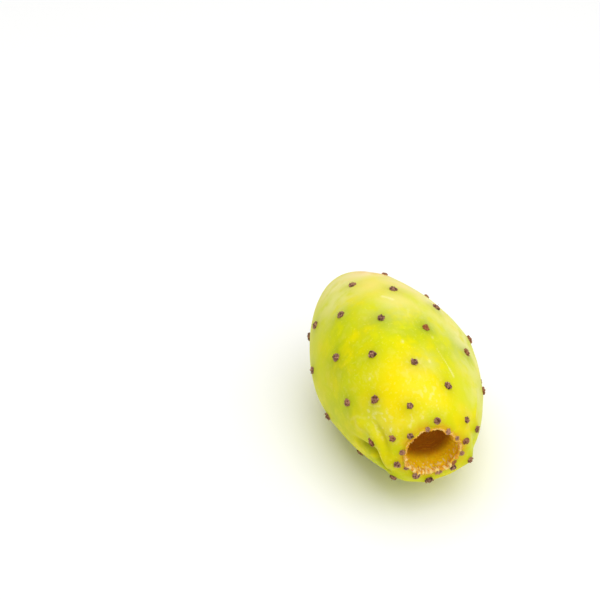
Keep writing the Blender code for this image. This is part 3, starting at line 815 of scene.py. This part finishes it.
def liningRings(line, backRows, round):
    # ridges run down the wall, wrinkles ring the floor, and the lip is frayed
    sizes = liningSettings
    plain = raisedRings(line, round)
    outward = outwardOf(line)
    radius = np.hypot(plain[..., 0], plain[..., 2])
    depth = (line[:, 0] + fruitForm["rimDistance"])[:, None]
    onWall = ramp(depth, *sizes["wallStart"]) * (1 - ramp(depth, *sizes["wallEnd"]))
    onFloor = ramp(depth, *sizes["floorStart"])
    wide, drawnOut = sizes["ridgeStretch"]
    across, aside = np.cos(round) * wide, np.sin(round) * wide
    ringed = np.stack(np.broadcast_arrays(across, depth * drawnOut, aside), axis=-1)
    ridges = noiseAt(ringed, sizes["ridgeSize"]) + 0.5 * noiseAt(ringed, sizes["ridgeSize"] / 2, 7.0)
    # the floor's rings wander, and fade out in patches
    wander, tremble = sizes["wander"], sizes["tremble"]
    warped = radius + wander[0] * noiseAt(plain, wander[1]) + tremble[0] * noiseAt(plain, tremble[1], 9.0)
    wrinkles = np.sin(warped * 2 * math.pi / sizes["wrinkleSize"])
    wrinkles *= (0.55 + 1.1 * noiseAt(plain, sizes["wrinklePatch"], 21.0)).clip(0, 1)
    lump = noiseAt(plain, sizes["lumpSize"], 3.0)
    height = onWall * sizes["wallRidges"] * ridges
    height += onFloor * sizes["floorWrinkles"] * (0.4 * wrinkles + 0.9 * lump)
    height += sizes["grain"] * noiseAt(plain, sizes["grainSize"], 11.0)
    atLip = bell(depth + fruitForm["lipHeight"], sizes["frayReach"])
    height += atLip * sizes["frayHeight"] * (0.35 + noiseAt(plain, sizes["fraySize"], 5.0))
    low = (0.25 - np.sin(round)).clip(0, 1) * (1 - depth / sizes["shredDepth"]).clip(0, 1)
    torn = noiseAt(ringed * np.array([1, 2.2, 1]), sizes["shredSize"], 17.0) + sizes["shredLow"] * low
    shred = ramp(torn, *sizes["shredLevel"]) * (low > 0)
    height += sizes["shredHeight"] * shred
    height[:backRows] = 0
    radial = np.stack([np.cos(round), 0 * round, np.sin(round)], axis=-1)
    step = outward[:, 1][:, None, None] * radial + outward[:, 0][:, None, None] * np.array([0, 1, 0])
    placed = plain + height[..., None] * step
    placed[0], placed[-1] = placed[0].mean(axis=0), placed[-1].mean(axis=0)
    paint = {"depth": depth + 0 * round, "ridge": ridges * onWall, "lump": lump, "shred": shred,
             "wrinkle": wrinkles * onFloor}
    return placed, paint


# Dried receptacle tissue: fibres over soft flesh. It is matt, deep ochre, and pales
# to straw on its raised fibres and at the lip.
liningLook = {
    # the floor's dark brown is partly the tissue's own colour and partly painted shade where the upper lip
    # shades the back of the cup
    "deep": "#fab40a", "ochre": "#ffd614", "straw": "#fdd67c", "shred": "#ffe294", "floor": "#904f06",
    "lip": "#e29828",
    "roughness": 0.62, "specular": 0.06, "glow": 0.2, "glowReach": (1.5, 0.75, 0.12),
    "fibreSize": 0.28, "fibreDepth": 0.08, "blotchSize": 2.2, "patchSize": 3.2,
}


def liningMaterial():
    look = liningLook
    material, tree, masks = newMaterial("driedCupFibre", ("depth", "ridge", "lump", "shred", "wrinkle"))
    patterns = addPatterns(tree, look, {"blotch": (4, 0.5), "fibre": (3, 0.5), "patch": (5, 0.7)})
    # the lip pales only in patches
    crest = addNode(tree, "ShaderNodeMath", {"operation": "MULTIPLY_ADD"},
                    {0: masks["depth"], 1: -0.25, 2: patterns["patch"]})
    colour = layColours(tree, look, hexColour(look["ochre"]), (
        ("deep", patterns["blotch"], 0.5, 0.75, 0.0, 0.5, None),
        ("deep", masks["lump"], 0.1, -0.6, 0.0, 0.5, None),
        ("straw", masks["ridge"], 0.3, 0.9, 0.0, 0.25, None),
        ("straw", patterns["fibre"], 0.62, 0.8, 0.0, 0.25, None),
        # painted shade, with the tissue's own darker brown, deeper in the cup
        ("floor", masks["depth"], 3.8, 7.6, 0.0, 0.95, None),
        ("deep", masks["wrinkle"], 0.2, 0.9, 0.0, 0.16, None),
        ("lip", masks["depth"], 1.2, -0.1, 0.0, 0.8, None),
        ("shred", masks["shred"], 0.1, 0.9, 0.0, 0.85, None),
        ("straw", crest, 0.55, 0.73, 0.0, 0.9, None),
    ))
    bump = addNode(tree, "ShaderNodeBump", links={
        "Height": patterns["fibre"], "Strength": 0.5, "Distance": look["fibreDepth"] * mm})
    shader = addNode(tree, "ShaderNodeBsdfPrincipled", links={
        "Base Color": colour, "Roughness": look["roughness"], "Normal": bump,
        "Specular IOR Level": look["specular"], "Subsurface Weight": look["glow"],
        "Subsurface Radius": look["glowReach"], "Subsurface Scale": 1 * mm})
    addNode(tree, "ShaderNodeOutputMaterial", links={"Surface": shader})
    return material


def growLining():
    line, backRows = liningLine()
    mesh = turnedMesh("cupLining", *liningRings(line, backRows, anglesRound(liningSettings["sides"])))
    return grow("cupLining", mesh, pieceTree("liningGrowth", liningMaterial()), {})


lining = growLining()
declare(lining)
scar = growScar()
declare(scar)


# Cup fibres: what is left of the dry flower frays the lip and flecks the wall

fibreSettings = {
    "Fringe Count": 130, "Fringe Length": 0.7 * mm, "Fringe Radius": 0.11 * mm, "Fringe Reach": 0.3 * mm,
    "Fringe Arc": math.radians(360), "Fringe Lift": 0.5,
    "Fleck Count": 240, "Fleck Length": 0.9 * mm, "Fleck Radius": 0.11 * mm, "Fleck Reach": 4.5 * mm,
    "Fleck Arc": math.radians(215), "Fleck Lift": 0.16,  # they lie on the lower wall
    "Seed": 23,
}


# the ways that fibres point, from the least to the most, and how their lengths differ
fibreForm = {
    "least": (-0.8, -1.2, -0.8), "most": (0.8, -0.2, 0.8), "shortest": 0.45, "longest": 1.4,
    "sides": 4, "taper": 0.4,
}


def addFibres(tree, surface, given, kind, seed):
    # fibres that grow from the lining, at the lip or down the wall
    points = addNode(tree, "GeometryNodePoints", links={"Count": given[kind + " Count"]})
    chance = addNode(tree, "FunctionNodeRandomValue", {"data_type": "FLOAT_VECTOR"},
                     {0: (-0.5, 0, 0), 1: (0.5, 1, 1), 8: seed})
    chances = addNode(tree, "ShaderNodeSeparateXYZ", links={0: chance}).outputs
    round = addNode(tree, "ShaderNodeMath", {"operation": "MULTIPLY_ADD"},
                    {0: chances[0], 1: given[kind + " Arc"], 2: -math.pi / 2})
    deep = addNode(tree, "ShaderNodeMath", {"operation": "MULTIPLY"}, {0: chances[1], 1: chances[1]})
    along = addNode(tree, "ShaderNodeMath", {"operation": "MULTIPLY_ADD"}, {
        0: deep, 1: given[kind + " Reach"],
        2: -(fruitForm["rimDistance"] + fruitForm["lipHeight"]) * mm})
    radius = addNode(tree, "ShaderNodeMath", {"operation": "MULTIPLY_ADD"}, {
        0: chances[2], 1: 0.5 * fruitForm["lipThickness"] * mm,
        2: (fruitForm["lipRadius"] - 0.4 * fruitForm["lipThickness"]) * mm})
    across, aside = addOnCircle(tree, round, radius)
    straight = addNode(tree, "ShaderNodeCombineXYZ", links={0: across, 1: along, 2: aside})
    ring = addNode(tree, "GeometryNodeSetPosition", links={"Geometry": points, "Position": straight})
    crooked = addCrookedGrowth(tree, ring)
    place, normal = addNearest(tree, surface)
    seated = addNode(tree, "GeometryNodeSetPosition", links={"Geometry": crooked, "Position": place})
    # a fringe fibre stands off the lip, a fleck lies along the wall and points out of the cup
    stray = addNode(tree, "FunctionNodeRandomValue", {"data_type": "FLOAT_VECTOR"},
                    {0: fibreForm["least"], 1: fibreForm["most"], 8: seed})
    into = addNode(tree, "ShaderNodeVectorMath", {"operation": "PROJECT"}, {0: stray, 1: normal})
    flat = addNode(tree, "ShaderNodeVectorMath", {"operation": "SUBTRACT"}, {0: stray, 1: into})
    lift = addNode(tree, "ShaderNodeVectorMath", {"operation": "SCALE"},
                   {0: normal, "Scale": given[kind + " Lift"]})
    aim = addNode(tree, "ShaderNodeVectorMath", {"operation": "ADD"}, {0: flat, 1: lift})
    way = addNode(tree, "FunctionNodeAlignRotationToVector", {"axis": "Z"}, {"Vector": aim})
    fibre = addStrand(tree, given, kind, fibreForm["sides"], fibreForm["taper"])
    long = addNode(tree, "FunctionNodeRandomValue", {"data_type": "FLOAT"},
                   {2: fibreForm["shortest"], 3: fibreForm["longest"], 8: seed})
    size = addNode(tree, "ShaderNodeCombineXYZ", links={0: 1.0, 1: 1.0, 2: long.outputs[1]})
    spread = addNode(tree, "GeometryNodeInstanceOnPoints", links={
        "Points": seated, "Instance": fibre, "Rotation": way, "Scale": size})
    return addMarks(tree, spread, seed, {})


def fibreTree(material, lining):
    tree, given = newTree("cupFibres", inputsFor(fibreSettings))
    surface = addNode(tree, "GeometryNodeObjectInfo", links={"Object": lining}).outputs["Geometry"]
    joined = tree.nodes.new("GeometryNodeJoinGeometry")
    for step, kind in enumerate(("Fringe", "Fleck")):
        seed = addNode(tree, "ShaderNodeMath", {"operation": "ADD"}, {0: given["Seed"], 1: step})
        tree.links.new(addFibres(tree, surface, given, kind, seed).outputs[0], joined.inputs[0])
    return endTree(tree, joined, material)


# Dry flower fibre: like straw, matt and pale, with some strands still orange
fibreLook = {"straw": "#ffdc84", "orange": "#eaa02c", "roughness": 0.7, "specular": 0.3}


def fibreMaterial():
    look = fibreLook
    material, tree, masks = newMaterial("dryFlowerStraw", ("tint",))
    share = addNode(tree, "ShaderNodeMapRange", links={0: masks["tint"], 1: 0.45, 2: 0.9, 3: 0.0, 4: 0.8})
    colour = layColours(tree, look, hexColour(look["straw"]), (("orange", even, 0.0, 1.0, 0.0, 1.0, share),))
    shader = addNode(tree, "ShaderNodeBsdfPrincipled", links={
        "Base Color": colour, "Roughness": look["roughness"], "Specular IOR Level": look["specular"]})
    addNode(tree, "ShaderNodeOutputMaterial", links={"Surface": shader})
    return material


fibreMesh = bpy.data.meshes.new("cupFibres")
fibres = grow("cupFibres", fibreMesh, fibreTree(fibreMaterial(), lining), fibreSettings)
declare(fibres)


# Areole tufts: felt cushions with blunt bristles and a few fine barbed hairs

tuftSettings = {
    "Felt Count": 28, "Felt Length": 0.98 * mm, "Felt Radius": 0.27 * mm, "Felt Taper": 0.75,
    "Hair Count": 8, "Hair Length": 1.45 * mm, "Hair Radius": 0.03 * mm, "Hair Taper": 0.5,
    "Half Width": 1.0 * mm, "Seed": 4,
}


# how the bristles of a tuft differ and stand
bristleForm = {
    "astray": 0.14, "thinnest": 0.65, "thickest": 1.2, "turn": math.radians(137.508),
    "lean": 0.3, "sunk": 0.25 * mm, "edgeDrop": 0.45, "cushionHeight": 0.45,
    "sides": {"Felt": 5, "Hair": 3},
}

# the tufts' sizes by place, and areoles that grew smaller or bigger than their neighbours
tuftSizes = {"lip": 0.8, "rim": 0.96, "barrel": 1.12, "differ": (0.92, 1.08)}
oddTufts = {-8: 0.75, -3: 0.75, 27: 1.1, 30: 1.25, 46: 1.25, 38: 1.15}
rustyTufts = (13, 41)


def addBristles(tree, seated, given, kind, seed):
    # one kind of bristle packed like the seeds of a sunflower on every areole
    copies = addNode(tree, "GeometryNodeDuplicateElements", {"domain": "POINT"},
                     {"Geometry": seated, "Amount": given[kind + " Count"]})
    index = copies.outputs["Duplicate Index"]
    share = addNode(tree, "ShaderNodeMath", {"operation": "DIVIDE"}, {0: index, 1: given[kind + " Count"]})
    outAt = addNode(tree, "ShaderNodeMath", {"operation": "SQRT"}, {0: share})
    astray = bristleForm["astray"]
    jitter = addNode(tree, "FunctionNodeRandomValue", {"data_type": "FLOAT_VECTOR"}, {
        0: (-astray, -astray, bristleForm["thinnest"]),
        1: (astray, astray, bristleForm["thickest"]), 8: seed})
    turn = addNode(tree, "ShaderNodeMath", {"operation": "MULTIPLY"}, {0: index, 1: bristleForm["turn"]})
    across, aside = addOnCircle(tree, turn, outAt)
    inDisc = addNode(tree, "ShaderNodeCombineXYZ", links={0: across, 1: aside, 2: 0.0})
    jittered = addNode(tree, "ShaderNodeVectorMath", {"operation": "MULTIPLY_ADD"},
                       {0: jitter, 1: (1, 1, 0), 2: inDisc})
    normal = addNode(tree, "GeometryNodeInputNamedAttribute", {"data_type": "FLOAT_VECTOR"},
                     {"Name": "facing"})
    width = addNode(tree, "GeometryNodeInputNamedAttribute", {"data_type": "FLOAT"}, {"Name": "tuftSize"})
    upright = addNode(tree, "FunctionNodeAlignRotationToVector", {"axis": "Z"}, {"Vector": normal})
    halfWidth = addNode(tree, "ShaderNodeMath", {"operation": "MULTIPLY"}, {0: width, 1: given["Half Width"]})
    offset = addNode(tree, "ShaderNodeVectorMath", {"operation": "SCALE"}, {0: jittered, "Scale": halfWidth})
    turned = addNode(tree, "FunctionNodeRotateVector", links={0: offset, 1: upright})
    placed = addNode(tree, "GeometryNodeSetPosition",
                     links={"Geometry": copies.outputs["Geometry"], "Offset": turned})
    # outer bristles lean outwards
    leaning = addNode(tree, "ShaderNodeVectorMath", {"operation": "MULTIPLY_ADD"},
                      {0: jittered, 1: (bristleForm["lean"], bristleForm["lean"], 0), 2: (0, 0, 1)})
    wayOut = addNode(tree, "FunctionNodeRotateVector", links={0: leaning, 1: upright})
    aim = addNode(tree, "FunctionNodeAlignRotationToVector", {"axis": "Z"}, {"Vector": wayOut})
    bristle = addStrand(tree, given, kind, bristleForm["sides"][kind], given[kind + " Taper"])
    sunk = addNode(tree, "GeometryNodeTransform", links={
        "Geometry": bristle, "Translation": (0, 0, -bristleForm["sunk"])})
    # shorter towards the edge, so the tuft is a low dome
    drop = addNode(tree, "ShaderNodeMath", {"operation": "MULTIPLY_ADD"},
                   {0: share, 1: -bristleForm["edgeDrop"], 2: 1.0})
    tall = addNode(tree, "ShaderNodeSeparateXYZ", links={0: jitter})
    length = addNode(tree, "ShaderNodeMath", {"operation": "MULTIPLY"}, {0: drop, 1: tall.outputs[2]})
    shape = addNode(tree, "ShaderNodeCombineXYZ", links={0: tall.outputs[2], 1: tall.outputs[2], 2: length})
    size = addNode(tree, "ShaderNodeVectorMath", {"operation": "SCALE"}, {0: shape, "Scale": width})
    spread = addNode(tree, "GeometryNodeInstanceOnPoints", links={
        "Points": placed, "Instance": sunk, "Rotation": aim, "Scale": size})
    return addMarks(tree, spread, seed, {"isHair": float(kind == "Hair")})


def tuftTree(material, skin):
    tree, given = newTree("areoleTufts", inputsFor(tuftSettings))
    crooked = addCrookedGrowth(tree, given["Geometry"])
    surface = addNode(tree, "GeometryNodeObjectInfo", links={"Object": skin}).outputs["Geometry"]
    place, normal = addNearest(tree, surface)
    points = addNode(tree, "GeometryNodeMeshToPoints", links={0: crooked})
    # a tuft faces between its own bit of skin and the fruit's plain form
    plain = addNode(tree, "GeometryNodeInputNamedAttribute", {"data_type": "FLOAT_VECTOR"},
                    {"Name": "outward"})
    between = addNode(tree, "ShaderNodeVectorMath", {"operation": "ADD"}, {0: normal, 1: plain})
    facing = addNode(tree, "GeometryNodeStoreNamedAttribute",
                     {"data_type": "FLOAT_VECTOR", "domain": "POINT"},
                     {"Geometry": points, "Name": "facing", "Value": between})
    seated = addNode(tree, "GeometryNodeSetPosition", links={"Geometry": facing, "Position": place})
    joined = tree.nodes.new("GeometryNodeJoinGeometry")
    for step, kind in enumerate(("Felt", "Hair")):
        seed = addNode(tree, "ShaderNodeMath", {"operation": "ADD"}, {0: given["Seed"], 1: step})
        tree.links.new(addBristles(tree, seated, given, kind, seed).outputs[0], joined.inputs[0])
    cushion = addNode(tree, "GeometryNodeMeshIcoSphere", links={"Radius": 1.0, "Subdivisions": 2})
    width = addNode(tree, "GeometryNodeInputNamedAttribute", {"data_type": "FLOAT"}, {"Name": "tuftSize"})
    wide = addNode(tree, "ShaderNodeMath", {"operation": "MULTIPLY"}, {0: width, 1: given["Half Width"]})
    size = addNode(tree, "ShaderNodeVectorMath", {"operation": "SCALE"},
                   {0: (1.0, 1.0, bristleForm["cushionHeight"]), "Scale": wide})
    upright = addNode(tree, "FunctionNodeAlignRotationToVector", {"axis": "Z"}, {"Vector": addNode(
        tree, "GeometryNodeInputNamedAttribute", {"data_type": "FLOAT_VECTOR"}, {"Name": "facing"})})
    pads = addNode(tree, "GeometryNodeInstanceOnPoints", links={
        "Points": seated, "Instance": cushion, "Rotation": upright, "Scale": size})
    tree.links.new(pads.outputs[0], joined.inputs[0])
    # real bristles, not instances, so that each is pressed flat where it stands
    bristles = addNode(tree, "GeometryNodeRealizeInstances", links={0: joined})
    return endTree(tree, addRest(tree, bristles), material)


# Areole felt: short matted plant hairs, dry and quite matt. Each bristle has its own
# shade, from chocolate to a dusty mauve, and the fine barbed hairs are tan.
feltLook = {
    "chocolate": "#3f2117", "mauve": "#c8977c", "rust": "#b0682c", "hair": "#a9784c",
    "roughness": 0.85, "specular": 0.2, "sheen": 0.15, "clumpSize": 0.8,
}


def feltMaterial():
    look = feltLook
    material, tree, masks = newMaterial("mattedAreoleFelt", ("tint", "isHair", "rusty", "dusty"))
    clump = addPatterns(tree, look, {"clump": (2, 0.5)})["clump"]
    shade = addNode(tree, "ShaderNodeMath", {"operation": "MULTIPLY_ADD", "use_clamp": True},
                    {0: masks["tint"], 1: 0.55, 2: -0.1})
    clumped = addNode(tree, "ShaderNodeMapRange", links={0: clump, 1: 0.42, 2: 0.62, 3: 0.0, 4: 0.6})
    for more in (clumped, masks["dusty"]):
        shade = addNode(tree, "ShaderNodeMath", {"operation": "ADD", "use_clamp": True}, {0: shade, 1: more})
    colour = layColours(tree, look, hexColour(look["chocolate"]), (
        ("mauve", even, 0.0, 1.0, 0.0, 1.0, shade),
        ("rust", even, 0.0, 1.0, 0.0, 1.0, masks["rusty"]),
        ("hair", even, 0.0, 1.0, 0.0, 1.0, masks["isHair"]),
    ))
    shader = addNode(tree, "ShaderNodeBsdfPrincipled", links={
        "Base Color": colour, "Roughness": look["roughness"], "Specular IOR Level": look["specular"],
        "Sheen Weight": look["sheen"], "Sheen Roughness": 0.6, "Sheen Tint": hexColour(look["mauve"])})
    addNode(tree, "ShaderNodeOutputMaterial", links={"Surface": shader})
    return material


def growTufts(skin):
    pick = random.Random(11)
    mesh = bpy.data.meshes.new("areoleTufts")
    places, sizes, rusty, dusty, outwards = [], [], [], [], []
    line = joinLines(barrelLine(), shoulderLine(), lipLine())
    outward = outwardOf(line)
    for number, seat in seatPlaces.items():
        along, radius, angle = seats[number]
        across, out = outward[np.argmin(np.hypot(line[:, 0] - along, line[:, 1] - radius))][::-1]
        outwards.append((across * math.cos(angle), out, across * math.sin(angle)))
        # those on the lip are small and pale, those round the rim a little smaller than the barrel's
        onLip = isOnLip(seat)
        # the lip's own lie on the cusp that they pinch into it
        inward = 1 - onLip * 0.2 / fruitForm["lipRadius"]
        places.append(tuple(seat * np.array([inward, 1, inward]) * mm))
        where = "lip" if onLip else "rim" if number > areoleSpiral["rimNumber"] else "barrel"
        sizes.append(tuftSizes[where] * pick.uniform(*tuftSizes["differ"]) * oddTufts.get(number, 1.0))
        rusty.append(0.75 if number in rustyTufts else pick.choice((0, 0, 0.15, 0.35)))
        dusty.append(0.45 if onLip else pick.uniform(0, 0.2))
    mesh.from_pydata(places, [], [])
    for label, values in (("tuftSize", sizes), ("rusty", rusty), ("dusty", dusty)):
        mesh.attributes.new(label, "FLOAT", "POINT").data.foreach_set("value", values)
    mesh.attributes.new("outward", "FLOAT_VECTOR", "POINT").data.foreach_set("vector", np.ravel(outwards))
    return grow("areoleTufts", mesh, tuftTree(feltMaterial(), skin), tuftSettings)


tufts = growTufts(skin)
declare(tufts)


# Studio: pale floor, soft light, and the photograph's viewing angle

studio = {
    "floorHalf": 4.0, "floorColour": "#fbfbfa", "floorRoughness": 0.9, "floorSpecular": 0.1,  # metres
    "skyLeft": 0.30, "skyRight": 0.67, "skyTowards": (0.6, -0.45, 0.6), "skyReach": 0.8,
    "keyPower": 6.5, "keyWidth": 0.8, "keyLength": 1.5, "keyPlace": (0.04, -0.12, 0.83),
    "azimuth": -13.345, "elevation": 35.699, "fieldOfView": 20.0,
    "distance": 547.425, "besides": 29.897, "above": -21.193,
}


def addFloor():
    mesh = bpy.data.meshes.new("paleFloor")
    half = studio["floorHalf"]
    corners = [(-half, -half, 0), (half, -half, 0), (half, half, 0), (-half, half, 0)]
    mesh.from_pydata(corners, [], [(0, 1, 2, 3)])
    floor = bpy.data.objects.new("paleFloor", mesh)
    bpy.context.scene.collection.objects.link(floor)
    material = bpy.data.materials.new("mattPaperSweep")
    material.use_nodes = True
    shader = material.node_tree.nodes["Principled BSDF"]
    shader.inputs["Base Color"].default_value = hexColour(studio["floorColour"])
    shader.inputs["Roughness"].default_value = studio["floorRoughness"]
    shader.inputs["Specular IOR Level"].default_value = studio["floorSpecular"]
    mesh.materials.append(material)


def addLight():
    world = bpy.data.worlds.new("softRoom")
    bpy.context.scene.world = world
    world.use_nodes = True
    tree = world.node_tree
    tree.nodes.clear()
    direction = addNode(tree, "ShaderNodeTexCoord").outputs["Generated"]
    rightness = addNode(tree, "ShaderNodeVectorMath", {"operation": "DOT_PRODUCT"},
                        {0: direction, 1: studio["skyTowards"]}).outputs["Value"]
    strength = addNode(tree, "ShaderNodeMapRange", links={
        0: rightness, 1: -studio["skyReach"], 2: studio["skyReach"],
        3: studio["skyLeft"], 4: studio["skyRight"]})
    sky = addNode(tree, "ShaderNodeBackground", links={"Color": (1, 1, 1, 1), "Strength": strength})
    addNode(tree, "ShaderNodeOutputWorld", links={"Surface": sky})
    lamp = bpy.data.lights.new("softbox", "AREA")
    lamp.shape, lamp.energy = "RECTANGLE", studio["keyPower"]
    lamp.size, lamp.size_y = studio["keyWidth"], studio["keyLength"]
    box = bpy.data.objects.new("softbox", lamp)
    box.location = studio["keyPlace"]
    box.rotation_euler = Vector(studio["keyPlace"]).to_track_quat("Z", "Y").to_euler()
    bpy.context.scene.collection.objects.link(box)


def addCamera():
    turn, rise = math.radians(studio["azimuth"]), math.radians(studio["elevation"])
    right = Vector((math.cos(turn), math.sin(turn), 0))
    back = Vector((math.sin(turn) * math.cos(rise), -math.cos(turn) * math.cos(rise), math.sin(rise)))
    up = back.cross(right)
    place = Vector(fruitForm["middle"]) - studio["besides"] * right - studio["above"] * up
    place = (place + studio["distance"] * back) * mm
    camera = bpy.data.objects.new("camera", bpy.data.cameras.new("camera"))
    camera.data.angle = math.radians(studio["fieldOfView"])
    camera.data.clip_start, camera.data.clip_end = 0.01, 20
    camera.matrix_world = Matrix.Translation(place) @ Matrix((right, up, back)).transposed().to_4x4()
    bpy.context.scene.collection.objects.link(camera)
    bpy.context.scene.camera = camera


addFloor()
addLight()
addCamera()
bpy.context.scene.view_settings.view_transform = "Standard"
print("studio ready")
